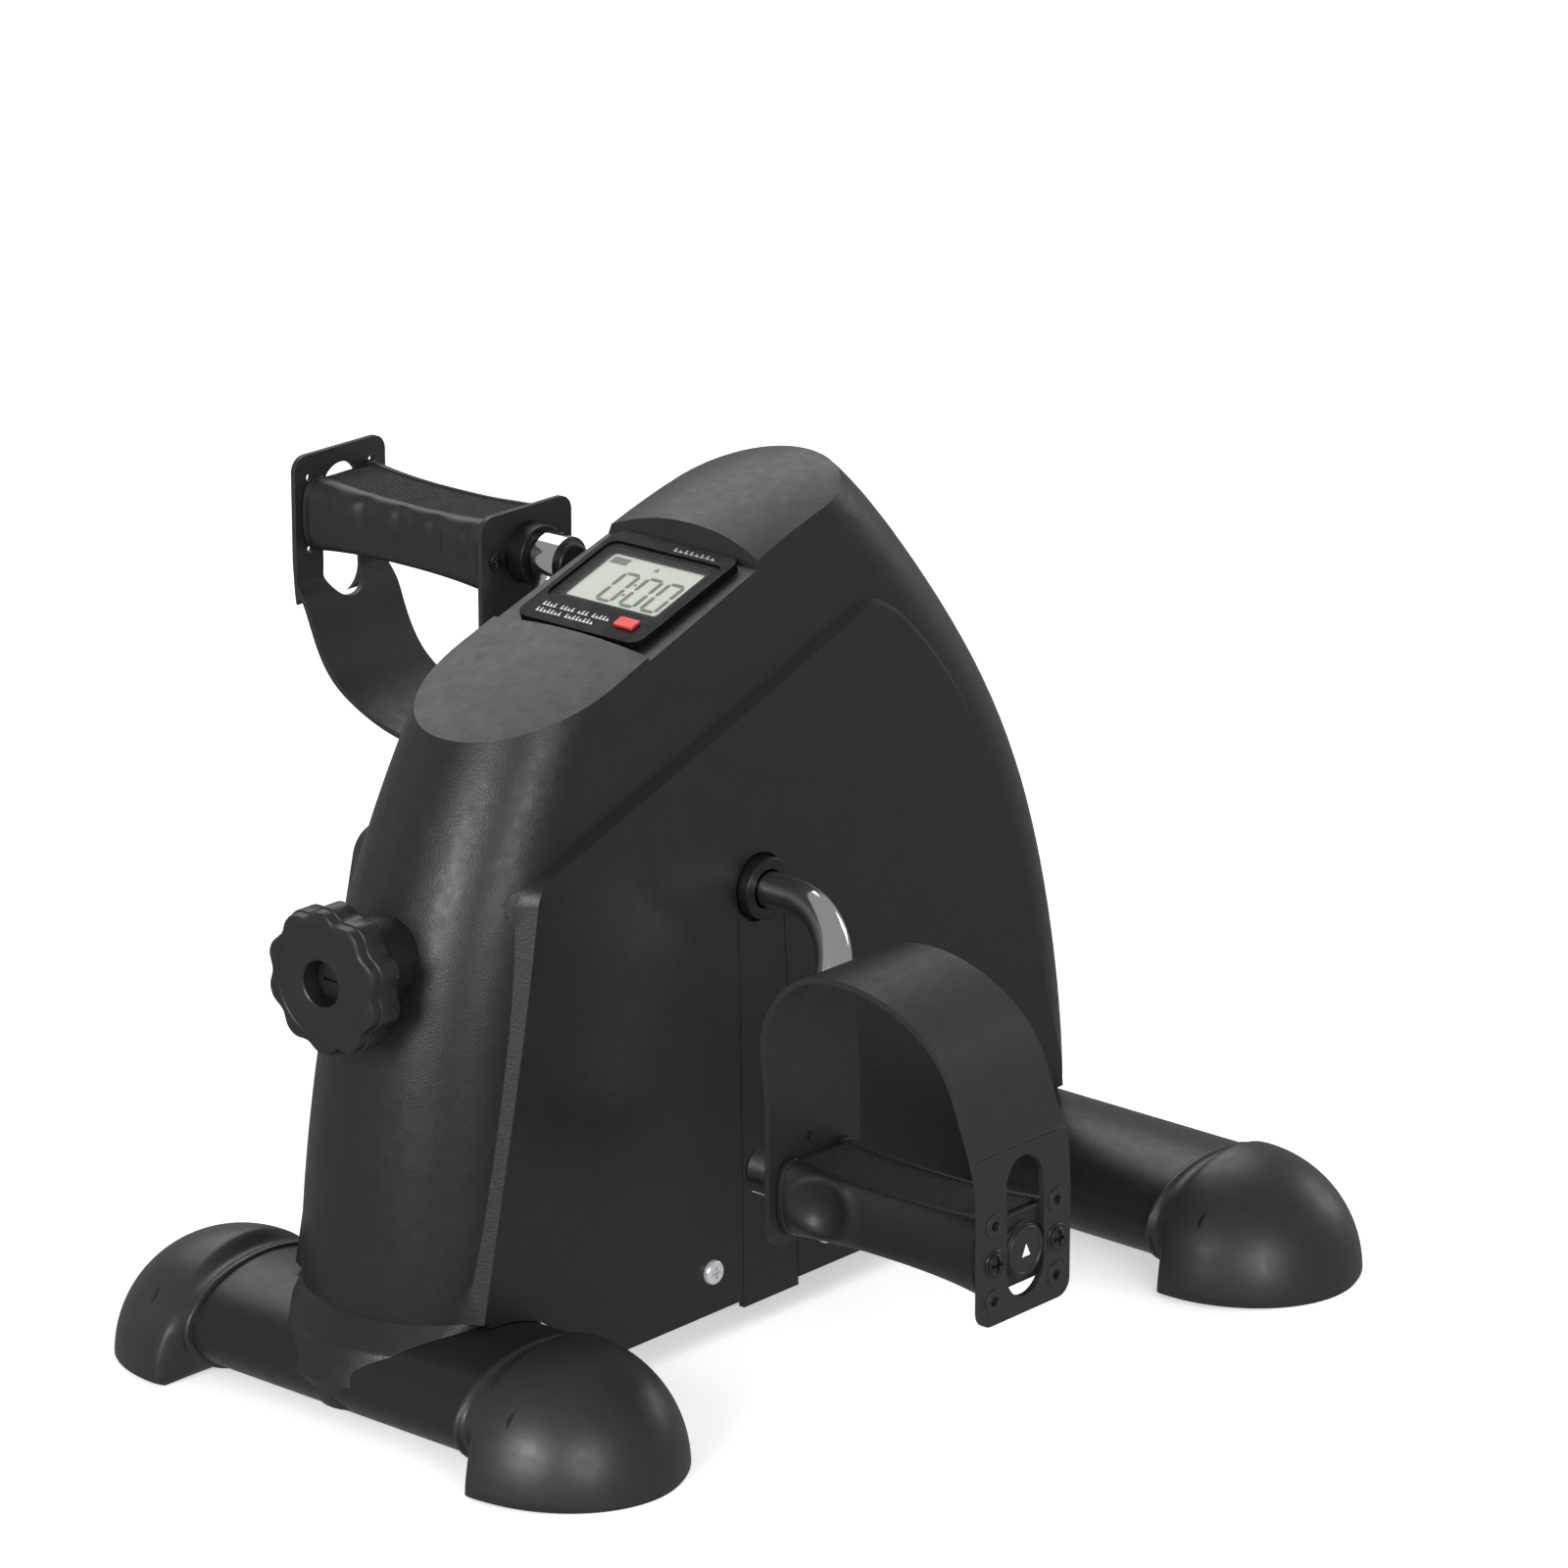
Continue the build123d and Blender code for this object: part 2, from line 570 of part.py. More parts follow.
def strap(side):
    """Foot strap: inner tab, high loop and the outer tab with its rows of size holes."""
    sag = 0.0 if side > 0 else LEFT_SAG
    x0, x1 = PEDAL_IN - STRAP_T, PEDAL_OUT + STRAP_T
    arch = Spline([(x0, 0, 36 - 0.3 * sag), (102.3, 0, 62 - 0.6 * sag), (115, 0, 82 - 0.9 * sag),
                   (143, 0, LOOP_TOP - sag), (172, 0, 79 - sag), (189, 0, 60 - 0.9 * sag),
                   (197.5, 0, 38 - 0.5 * sag), (x1, 0, 17)], tangents=[(-0.08, 0, 1), (0.06, 0, -1)])
    under = [arch @ t + (arch % t).rotate(Axis.Y, 90) * STRAP_T for t in [i / 16 for i in range(17)]]
    inner_arch = Spline(under, tangents=[arch % 0, arch % 1])
    outside = tab_and_arch(x0, x1, arch, TAB_END)
    inside = tab_and_arch(x0 + STRAP_T, x1 - STRAP_T, inner_arch, TAB_END - 8)
    loop = extrude(outside, STRAP_W / 2, dir=(0, 1, 0), both=True)
    loop -= extrude(inside, STRAP_W, dir=(0, 1, 0), both=True)
    loop -= block(x0 - 5, x0 + 5, -30, 30, -60, -17)
    loop -= x_rod(11.5, 90, 115, 0, 0) + x_rod(1.6, 90, 115, -3, 19)
    slot = Plane.YZ.offset(190) * Pos(0, 9.0) * SlotCenterToCenter(31, 19.6, rotation=90)
    loop -= extrude(slot, 20)
    for row in (-1, 0, 1):
        for y in (-16.5, 16.5):
            loop -= x_rod(1.6, 190, 210, y, row * HOLE_PITCH)
    for y in (-16.5, 16.5):
        loop -= x_rod(1.6, 95, 120, y, 0)
    corners = loop.edges().filter_by(Axis.X).sort_by(Axis.Z)
    bottom = [edge for edge in corners if abs(edge.center().Y) > 23.9 and edge.center().Z < -16]
    loop = fillet(bottom, 6.0)
    return place_pedal(loop, side)


def strap_screws(side):
    screws = []
    for y in (-16.5, 16.5):
        seat = PEDAL_OUT + STRAP_T
        screws.append(x_rod(3.6, seat, seat + 1.8, y, 0) + x_rod(1.6, seat - 14, seat, y, 0))
        seat = PEDAL_IN - STRAP_T
        screws.append(x_rod(3.6, seat - 1.8, seat, y, 0) + x_rod(1.6, seat, seat + 14, y, 0))
    return place_group(screws, side)


def hub_cap(side):
    """Black hub between the strap and the crank's eye; it turns with the pedal."""
    hub = x_rod(11.3, ARM_X + EYE_THICK / 2 + 2.8, PEDAL_IN, 0, 0)
    return place_pedal(hub - x_rod(PIN_R + RUNNING, 90, 110, 0, 0), side)


# ---------------------------------------------------------------- monitor
def monitor_plane():
    """Frame of the monitor: on the recess floor, with x to the right and y up the slope."""
    normal = (0, -sin(radians(TILT)), cos(radians(TILT)))
    floor = top_z(MON_Y) - RECESS_DEPTH
    return Plane(origin=(0, MON_Y, floor), x_dir=(1, 0, 0), z_dir=normal)


def local_box(x0, x1, y0, y1, z0, z1, corner=0.0):
    """Box in the monitor's frame, with rounded corners seen from the front."""
    sketch = RectangleRounded(x1 - x0, y1 - y0, corner) if corner else Rectangle(x1 - x0, y1 - y0)
    return monitor_plane() * Pos((x0 + x1) / 2, (y0 + y1) / 2, z0) * extrude(sketch, z1 - z0)


def centred(half_x, half_y, z0, z1, corner=0.0, x=0.0, y=0.0):
    return local_box(x - half_x, x + half_x, y - half_y, y + half_y, z0, z1, corner)


SCREEN_Y = 3.7            # centre of the screen above the middle of the face
BUTTON_X, BUTTON_Y = 16.9, -19.9
BUTTON_HALF_X, BUTTON_HALF_Y = 4.4, 2.5
CAVITY_TOP = 1.2


def monitor_case():
    half = MON_SIZE / 2
    case = centred(half, half, 0, MON_LIP, 5.0) + centred(MON_BODY / 2, MON_BODY / 2, -MON_DEPTH, 0, 2.0)
    case -= centred(22.5, 22.5, -MON_DEPTH, CAVITY_TOP, 1.0)
    case -= centred(26.7, 19.0, MON_LIP - 0.7, MON_LIP + 1, 4.0, 0, SCREEN_Y)
    case -= centred(23.5, 16.2, MON_LIP - 1.5, MON_LIP + 1, 2.5, 0, SCREEN_Y)
    case -= centred(21.5, 14.2, 0, MON_LIP, 1.5, 0, SCREEN_Y)
    gap = 0.15
    case -= centred(BUTTON_HALF_X + gap, BUTTON_HALF_Y + gap, 0, MON_LIP + 1, 0.8, BUTTON_X, BUTTON_Y)
    return case


def monitor_window():
    return centred(23.4, 16.1, MON_LIP - 1.5, MON_LIP - 0.7, 2.4, 0, SCREEN_Y)


def lcd_panel():
    return centred(22.4, 15.6, -1.2, CAVITY_TOP, 0, 0, SCREEN_Y)


def circuit_board():
    return centred(22.3, 22.3, -3.0, -1.4, 1.0) - centred(3.0, 3.0, -4, 0, 0, BUTTON_X, BUTTON_Y)


def battery():
    return monitor_plane() * Pos(0, -12, -9.2) * Rot(0, 90, 0) * Cylinder(5.2, 42)


def monitor_back():
    return centred(22.4, 22.4, -MON_DEPTH, -MON_DEPTH + 1.4, 1.0)


def monitor_button():
    key = centred(BUTTON_HALF_X, BUTTON_HALF_Y, 0.2, MON_LIP + 1.0, 0.7, BUTTON_X, BUTTON_Y)
    flange = local_box(BUTTON_X - 5.4, BUTTON_X + 5.4, -22.2, -16.6, 0.2, 1.0, 0.7)
    return key + flange


# ---------------------------------------------------------------- speed sensor
SENSOR_Y = CRANK_Y + 20


def reed_sensor():
    return block(13.5, BEAM_HALF_X, SENSOR_Y - 4, SENSOR_Y + 4, CRANK_Z - 8, CRANK_Z + 8)


def sensor_lead():
    """Thin lead from the sensor up to the back of the monitor."""
    back = monitor_plane().from_local_coords(Vector(6, 4, -MON_DEPTH))
    below = monitor_plane().from_local_coords(Vector(6, 4, -MON_DEPTH - 14))
    path = FilletPolyline((16.5, SENSOR_Y, CRANK_Z + 8), (16.5, SENSOR_Y, CRANK_Z + 34),
                          (12, SENSOR_Y - 8, CRANK_Z + 50), below, back, radius=9)
    return sweep(Plane(origin=path @ 0, z_dir=path % 0) * Circle(1.2), path=path)


# ---------------------------------------------------------------- write every node
def all_nodes():
    outer = housing_outer()
    nodes = {
        "housing_cover": housing_cover(outer),
        "front_saddle": saddle(-1), "rear_saddle": saddle(1),
        "front_tube": foot_tube(-1, FRONT_RIM_X), "rear_tube": foot_tube(1, REAR_RIM_X),
        "main_beam": main_beam(), "screw_post": screw_post(),
        "foot_bolts": foot_bolts(), "foot_nuts": foot_nuts(),
        "cross_brackets": cross_brackets(), "housing_screws": housing_screws(),
        "knob_collar": knob_collar(outer),
        "tension_knob": tension_knob(), "tension_screw": tension_screw(), "screw_clip": screw_clip(),
        "brake_band": brake_band(), "brake_lining": brake_lining(),
        "band_clamp": band_clamp(), "tension_nut": tension_nut(),
        "crank_rod": crank_rod(), "friction_drum": friction_drum(), "drum_magnet": drum_magnet(),
        "crank_rings": crank_rings(), "pedal_pins": pedal_pins(), "pin_caps": pin_caps(),
        "monitor_case": monitor_case(), "monitor_window": monitor_window(), "lcd_panel": lcd_panel(),
        "circuit_board": circuit_board(), "battery": battery(), "monitor_back": monitor_back(),
        "monitor_button": monitor_button(),
        "reed_sensor": reed_sensor(), "sensor_lead": sensor_lead(),
    }
    for side, name in ((1, "right"), (-1, "left")):
        nodes[f"slot_cover_{name}"] = slot_cover(side)
        nodes[f"frame_upright_{name}"] = frame_upright(side)
        nodes[f"crank_bearing_{name}"] = crank_bearing(side)
        nodes[f"crank_grommet_{name}"] = crank_grommet(side)
        nodes[f"front_cap_{name}"] = foot_cap(side, -1, FRONT_RIM_X)
        nodes[f"rear_cap_{name}"] = foot_cap(side, 1, REAR_RIM_X)
        nodes[f"pedal_body_{name}"] = pedal_body(side)
        nodes[f"tread_pads_{name}"] = tread_pads(side)
        nodes[f"medallion_{name}"] = medallion(side)
        nodes[f"strap_{name}"] = strap(side)
        nodes[f"strap_screws_{name}"] = strap_screws(side)
        nodes[f"hub_{name}"] = hub_cap(side)
    return nodes


os.makedirs("parts", exist_ok=True)
for node, shape in all_nodes().items():
    export_step(shape, f"parts/{node}.step")
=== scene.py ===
import bpy
import json
from math import radians, pi, sin, cos, exp, hypot
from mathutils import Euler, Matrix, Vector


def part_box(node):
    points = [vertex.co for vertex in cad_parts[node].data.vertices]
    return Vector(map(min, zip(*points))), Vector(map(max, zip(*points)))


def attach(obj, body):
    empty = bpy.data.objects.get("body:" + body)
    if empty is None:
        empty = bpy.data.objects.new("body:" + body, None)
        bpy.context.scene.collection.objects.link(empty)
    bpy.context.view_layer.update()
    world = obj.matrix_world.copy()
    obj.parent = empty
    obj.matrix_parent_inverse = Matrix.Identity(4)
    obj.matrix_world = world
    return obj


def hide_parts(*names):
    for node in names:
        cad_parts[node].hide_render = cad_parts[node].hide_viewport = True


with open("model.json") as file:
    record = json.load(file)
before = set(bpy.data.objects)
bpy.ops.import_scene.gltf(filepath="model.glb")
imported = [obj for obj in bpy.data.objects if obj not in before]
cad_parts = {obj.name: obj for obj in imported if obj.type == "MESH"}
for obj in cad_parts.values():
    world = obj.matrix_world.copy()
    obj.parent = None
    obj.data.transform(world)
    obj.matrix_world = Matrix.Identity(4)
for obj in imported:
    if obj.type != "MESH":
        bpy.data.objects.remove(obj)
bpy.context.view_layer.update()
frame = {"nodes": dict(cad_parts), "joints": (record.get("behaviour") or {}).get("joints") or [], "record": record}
NODES = frame["nodes"]
JOINTS = {joint["name"]: joint for joint in frame["joints"]}
MM = 0.001
SIDES = (("right", 1), ("left", -1))


# ---------------------------------------------------------------- materials
MOTTLE_MM = 14.0          # size of the colour's uneven patches
PATCH_MM = 5.0            # size of the patches of uneven gloss
WAVE_MM = 30.0            # length of the soft waves of a moulded wall


def noise(tree, coordinates, size_mm, detail):
    """Noise texture whose features are about size_mm across."""
    node = tree.nodes.new("ShaderNodeTexNoise")
    node.inputs["Scale"].default_value = 1 / (size_mm * MM)
    node.inputs["Detail"].default_value = detail
    tree.links.new(coordinates, node.inputs["Vector"])
    return node.outputs["Fac"]


def spread(tree, value, low, high):
    """Maps the middle of a noise to the range from low to high."""
    node = tree.nodes.new("ShaderNodeMapRange")
    node.inputs["From Min"].default_value = 0.3
    node.inputs["From Max"].default_value = 0.7
    node.inputs["To Min"].default_value = low
    node.inputs["To Max"].default_value = high
    tree.links.new(value, node.inputs["Value"])
    return node.outputs["Result"]


def bump(tree, height, depth_mm, strength, under=None):
    """Normal raised by a height texture, on top of the normal under it."""
    node = tree.nodes.new("ShaderNodeBump")
    node.inputs["Distance"].default_value = depth_mm * MM
    node.inputs["Strength"].default_value = strength
    tree.links.new(height, node.inputs["Height"])
    if under is not None:
        tree.links.new(under, node.inputs["Normal"])
    return node.outputs["Normal"]


def surface(name, colour, roughness, grain_mm=0.6, grain_depth=0.05, grain=0.5,
            wave_depth=0.0, mottle=0.12, metallic=0.0, specular=0.5, alpha=1.0):
    """Moulded, painted or plated surface with grain, soft waviness and uneven gloss.

    Depths and the grain's size are in mm; mottle is how far the colour strays from its mean.
    """
    material = bpy.data.materials.new(name)
    material.use_nodes = True
    tree = material.node_tree
    shader = tree.nodes["Principled BSDF"]
    where = tree.nodes.new("ShaderNodeTexCoord").outputs["Object"]
    tint = tree.nodes.new("ShaderNodeMix")
    tint.data_type = "RGBA"
    tint.inputs["A"].default_value = (*[c * (1 - mottle) for c in colour], 1)
    tint.inputs["B"].default_value = (*[min(1, c * (1 + mottle)) for c in colour], 1)
    tree.links.new(noise(tree, where, MOTTLE_MM, 4.0), tint.inputs["Factor"])
    tree.links.new(tint.outputs["Result"], shader.inputs["Base Color"])
    patches = noise(tree, where, PATCH_MM, 5.0)
    gloss = spread(tree, patches, roughness * 0.88, min(1, roughness * 1.12))
    tree.links.new(gloss, shader.inputs["Roughness"])
    shader.inputs["Metallic"].default_value = metallic
    shader.inputs["Specular IOR Level"].default_value = specular
    shader.inputs["Alpha"].default_value = alpha
    normal = bump(tree, noise(tree, where, grain_mm, 2.0), grain_depth, grain)
    if wave_depth:
        normal = bump(tree, noise(tree, where, WAVE_MM, 1.0), wave_depth, 0.6, normal)
    tree.links.new(normal, shader.inputs["Normal"])
    return material


def grey(level):
    return level, level, level


LOOKS = {
    "housing_plastic": dict(colour=(0.0105, 0.0105, 0.0108), roughness=0.4, grain_mm=0.8,
                            grain_depth=0.12, grain=0.75, wave_depth=0.2, mottle=0.18),
    "cap_plastic": dict(colour=(0.013, 0.013, 0.0133), roughness=0.42, grain_mm=0.9,
                        grain_depth=0.03, grain=0.35, wave_depth=0.2, specular=0.7),
    "black_paint": dict(colour=(0.011, 0.011, 0.0115), roughness=0.36, grain_mm=0.8,
                        grain_depth=0.04, grain=0.4, wave_depth=0.1, specular=0.4),
    "zinc_steel": dict(colour=(0.74, 0.75, 0.77), roughness=0.3, grain_mm=0.4, grain_depth=0.02,
                       grain=0.3, mottle=0.1, metallic=0.6),
    "chrome": dict(colour=(0.8, 0.81, 0.82), roughness=0.08, grain_mm=6.0, grain_depth=0.02,
                   grain=0.15, mottle=0.03, metallic=1.0),
    "bush_plastic": dict(colour=(0.006, 0.006, 0.0065), roughness=0.4),
    "knob_plastic": dict(colour=(0.0115, 0.0115, 0.012), roughness=0.4, grain_mm=0.8,
                         grain_depth=0.03, grain=0.4, wave_depth=0.1),
    "pedal_plastic": dict(colour=(0.012, 0.012, 0.0125), roughness=0.38, grain_mm=0.7,
                          grain_depth=0.05, grain=0.45, wave_depth=0.15, mottle=0.2),
    "tread_rubber": dict(colour=(0.008, 0.008, 0.0085), roughness=0.6, grain_mm=0.5,
                         grain_depth=0.05, grain=0.5),
    "strap_rubber": dict(colour=(0.017, 0.017, 0.0175), roughness=0.48, grain_mm=0.5,
                         grain_depth=0.05, grain=0.5, wave_depth=0.2),
    "medallion_plastic": dict(colour=grey(0.016), roughness=0.36, grain_mm=0.8, grain_depth=0.03,
                              grain=0.3),
    "black_screw": dict(colour=(0.01, 0.01, 0.011), roughness=0.28, grain_mm=0.4, grain_depth=0.03,
                        grain=0.4),
    "felt": dict(colour=(0.2, 0.2, 0.19), roughness=0.9, grain_mm=0.4, grain_depth=0.15,
                 grain=0.9),
    "magnet": dict(colour=(0.5, 0.5, 0.52), roughness=0.35, metallic=1.0),
    "case_plastic": dict(colour=(0.004, 0.004, 0.0042), roughness=0.45, grain_mm=0.5,
                         grain_depth=0.03, grain=0.4, specular=0.1),
    "clear_window": dict(colour=(0.9, 0.95, 0.92), roughness=0.1, grain_mm=9.0, grain_depth=0.0,
                         grain=0.0, mottle=0.02, alpha=0.03),
    "lcd": dict(colour=(0.42, 0.46, 0.38), roughness=0.4, grain_mm=0.3, grain_depth=0.01,
                grain=0.2, mottle=0.05),
    "board": dict(colour=(0.03, 0.16, 0.07), roughness=0.35, grain_mm=0.6, grain_depth=0.04,
                  grain=0.5),
    "battery_jacket": dict(colour=(0.05, 0.05, 0.07), roughness=0.3),
    "red_button": dict(colour=(0.6, 0.02, 0.018), roughness=0.36, grain_mm=0.5, grain_depth=0.03,
                       grain=0.3, mottle=0.08),
    "sensor_plastic": dict(colour=grey(0.03), roughness=0.5),
    "lead_jacket": dict(colour=grey(0.03), roughness=0.55),
    "lcd_ink": dict(colour=(0.05, 0.06, 0.045), roughness=0.4, grain_mm=0.3, grain_depth=0.01,
                    grain=0.2, mottle=0.1),
    "print_ink": dict(colour=grey(0.62), roughness=0.5, grain_mm=0.3, grain_depth=0.01, grain=0.3,
                      mottle=0.15),
    "dim_ink": dict(colour=grey(0.3), roughness=0.5, grain_mm=0.3, grain_depth=0.01, grain=0.3,
                    mottle=0.15),
    "mark_ink": dict(colour=grey(0.75), roughness=0.45, grain_mm=0.3, grain_depth=0.01, grain=0.3,
                     mottle=0.05),
}
MATERIALS = {name: surface(name, **look) for name, look in LOOKS.items()}

BODY_OF = {node: body for body, nodes in frame["record"]["behaviour"]["bodies"].items() for node in nodes}
SLOT_OF = {part["node"]: part["material_slot"] for part in frame["record"]["subparts"]}
for node, slot_name in SLOT_OF.items():
    NODES[node].data.materials.clear()
    NODES[node].data.materials.append(MATERIALS[slot_name])


# ---------------------------------------------------------------- mesh helpers
def soften(obj, width_mm):
    """Rounds the sharp edges a little, as a mould does, and keeps flat faces flat."""
    weld = obj.modifiers.new("weld", "WELD")
    weld.merge_threshold = 0.00001
    bevel = obj.modifiers.new("bevel", "BEVEL")
    bevel.width = width_mm * MM
    bevel.segments = 3
    bevel.limit_method = "ANGLE"
    bevel.angle_limit = radians(35.0)
    normals = obj.modifiers.new("normals", "WEIGHTED_NORMAL")
    normals.weight = 80


def mesh_piece(name, points, faces, node, stands_for=(), material=None, smooth=True, flip=False,
               crease=32.0):
    """Object made of points in metres that rides with a CAD node's body and takes its slot."""
    mesh = bpy.data.meshes.new(name)
    if flip:
        faces = [tuple(reversed(face)) for face in faces]
    mesh.from_pydata([tuple(point) for point in points], [], faces)
    mesh.validate()
    mesh.materials.append(material or MATERIALS[SLOT_OF[node]])
    obj = bpy.data.objects.new(name, mesh)
    bpy.context.scene.collection.objects.link(obj)
    if smooth:
        mesh.shade_smooth()
        mesh.set_sharp_from_angle(angle=radians(crease))
    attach(obj, BODY_OF[node])
    if stands_for:
        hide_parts(*stands_for)
    return obj


def rings_to_faces(rings, around):
    """Quads between rings of equal length, with the first and last ring filled."""
    faces = []
    for i in range(rings - 1):
        for j in range(around):
            k = (j + 1) % around
            faces.append((i * around + j, i * around + k, (i + 1) * around + k, (i + 1) * around + j))
    faces.append(tuple(reversed(range(around))))
    faces.append(tuple((rings - 1) * around + j for j in range(around)))
    return faces


def join(parts):
    """One list of points and faces from several."""
    points, faces = [], []
    for part_points, part_faces in parts:
        start = len(points)
        points += part_points
        faces += [tuple(start + i for i in face) for face in part_faces]
    return points, faces


def prism(outline, low, high):
    """Flat plate from an outline of (x, y), between the heights low and high."""
    n = len(outline)
    points = [(x, y, low) for x, y in outline] + [(x, y, high) for x, y in outline]
    return points, rings_to_faces(2, n)


def lathe(profile, around, wobble=None):
    """Rings of (height, radius, share) about Z; share of wobble(angle) comes off the radius."""
    points = []
    for height, radius, lobed in profile:
        for j in range(around):
            angle = 2 * pi * j / around
            r = radius - (wobble(angle) * lobed if wobble else 0.0)
            points.append((r * cos(angle), r * sin(angle), height))
    return points, rings_to_faces(len(profile), around)


# ---------------------------------------------------------------- pedals
# Sizes are in mm. A pedal's X is its distance from the machine's middle.
PIN = {name: Vector(JOINTS[f"pedal_{name}_spin"]["pos_m"]) for name, side in SIDES}
grip_low, grip_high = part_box("pedal_body_right")
TREAD_INSET = 5.1         # from the end of the tread to the grip's outer end
PEDAL_IN = grip_low.x / MM
BOSS_OUT = grip_high.x / MM
STRAP_T = BOSS_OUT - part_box("tread_pads_right")[1].x / MM - TREAD_INSET
PEDAL_OUT = BOSS_OUT - STRAP_T
END_HALF_Y = (grip_high.y - grip_low.y) / 2 / MM
END_HALF_Z = (grip_high.z - grip_low.z) / 2 / MM
WAIST_X = 151.0           # where the grip is narrowest
WAIST_Y, WAIST_Z = 4.3, 2.5     # how much narrower and lower it is there
WAIST_POWER = 2.4
RIM_Y = 13.2              # where the grip's flat top starts, beside the tread
CHANNEL_Y = 12.2          # half width of the channel that holds the tread
CHANNEL_DEPTH = 1.7
CORNER_POWER = 0.8        # below 1 the grip's section is fuller than an ellipse
THUMB_X, THUMB_Z = 124.0, 0.5
THUMB_HALF_X, THUMB_HALF_Z, THUMB_DEPTH, THUMB_RIM = 8.5, 7.5, 3.3, 0.7
FINGER_X = (124.0, 142.0, 160.0, 178.0)
FINGER_Z = -4.0
FINGER_HALF_X, FINGER_HALF_Z, FINGER_RISE = 6.6, 7.5, 1.7
TREAD_PITCH, TREAD_RISE = 1.9, 0.55
MEDAL_R = 8.9


def pedal_place(side, x, y, z):
    """Point of a pedal, in mm from its pin and outwards along X, in the row frame."""
    pin = PIN["right" if side > 0 else "left"]
    return Vector((side * x * MM, pin.y + side * y * MM, pin.z + side * z * MM))


def waist(x):
    """Half width and half height of the grip at x: narrow in the middle, wide at both ends."""
    t = min(1.0, abs(x - WAIST_X) / ((PEDAL_OUT - PEDAL_IN) / 2))
    inwards = 1 - t ** WAIST_POWER
    return END_HALF_Y - WAIST_Y * inwards, END_HALF_Z - WAIST_Z * inwards


def hand_marks(x, y, z):
    """How far the grip's side is pressed in: a thumb dimple on one side, finger pads on the other."""
    if y < 0:
        away = ((x - THUMB_X) / THUMB_HALF_X) ** 2 + ((z - THUMB_Z) / THUMB_HALF_Z) ** 2
        return THUMB_DEPTH * exp(-away ** 1.6) - THUMB_RIM * exp(-(away - 2.2) ** 2)
    pads = sum(exp(-((x - centre) / FINGER_HALF_X) ** 4) for centre in FINGER_X)
    return -FINGER_RISE * pads * exp(-((z - FINGER_Z) / FINGER_HALF_Z) ** 4)


def grip_ring(x, shrink):
    """Section of the grip at x, with a channel for the tread in its top and bottom."""
    half_y, half_z = waist(x)
    half_y, half_z = half_y - shrink, half_z - shrink
    quarter = []
    steps = 12
    for i in range(steps + 1):
        angle = pi / 2 * i / steps
        y = RIM_Y + (half_y - RIM_Y) * cos(angle) ** CORNER_POWER
        z = half_z * sin(angle) ** CORNER_POWER
        quarter.append((y, z))
    lip = 0.3
    quarter += [(CHANNEL_Y + lip, half_z), (CHANNEL_Y, half_z - lip), (CHANNEL_Y, half_z - CHANNEL_DEPTH)]
    ring = quarter + [(-y, z) for y, z in reversed(quarter)]
    ring += [(-y, -z) for y, z in quarter[1:]] + [(y, -z) for y, z in reversed(quarter[1:])]
    pressed = []
    for y, z in ring:
        amount = hand_marks(x, y, z) if abs(y) > RIM_Y else 0.0
        pressed.append((x, y - amount * (1 if y > 0 else -1), z))
    return pressed


def grip_stations():
    """Positions along the grip with the shrink of the rounded ends and of the two lip grooves."""
    stations = [(PEDAL_IN, 1.2), (PEDAL_IN + 0.4, 0.4), (PEDAL_IN + 1.2, 0.0), (PEDAL_IN + 2.6, 0.0),
                (PEDAL_IN + 3.0, 0.7), (PEDAL_IN + 3.6, 0.7), (PEDAL_IN + 4.1, 0.1)]
    ends = len(stations)
    start = PEDAL_IN + 4.6
    stretch = PEDAL_OUT - PEDAL_IN - 2 * 4.6
    steps = 70
    stations += [(start + stretch * i / steps, 0.1) for i in range(steps + 1)]
    stations += [(PEDAL_OUT + PEDAL_IN - x, shrink) for x, shrink in reversed(stations[:ends])]
    return stations


def add_grip(name, side):
    """Moulded grip with the round boss on its outer end."""
    stations = grip_stations()
    rings = [grip_ring(x, shrink) for x, shrink in stations]
    around = len(rings[0])
    body = [point for ring in rings for point in ring], rings_to_faces(len(rings), around)
    boss = lathe([(PEDAL_OUT - 1, 10.4, 0), (PEDAL_OUT + 0.5, 10.4, 0), (PEDAL_OUT + 0.8, 10.0, 0),
                  (BOSS_OUT - 0.3, 9.6, 0), (BOSS_OUT, 9.3, 0)], 64)
    boss = [(z, x, y) for x, y, z in boss[0]], boss[1]
    points, faces = join([body, boss])
    points = [pedal_place(side, *point) for point in points]
    mesh_piece(f"grip_{name}", points, faces, f"pedal_body_{name}", [f"pedal_body_{name}"], flip=side > 0)


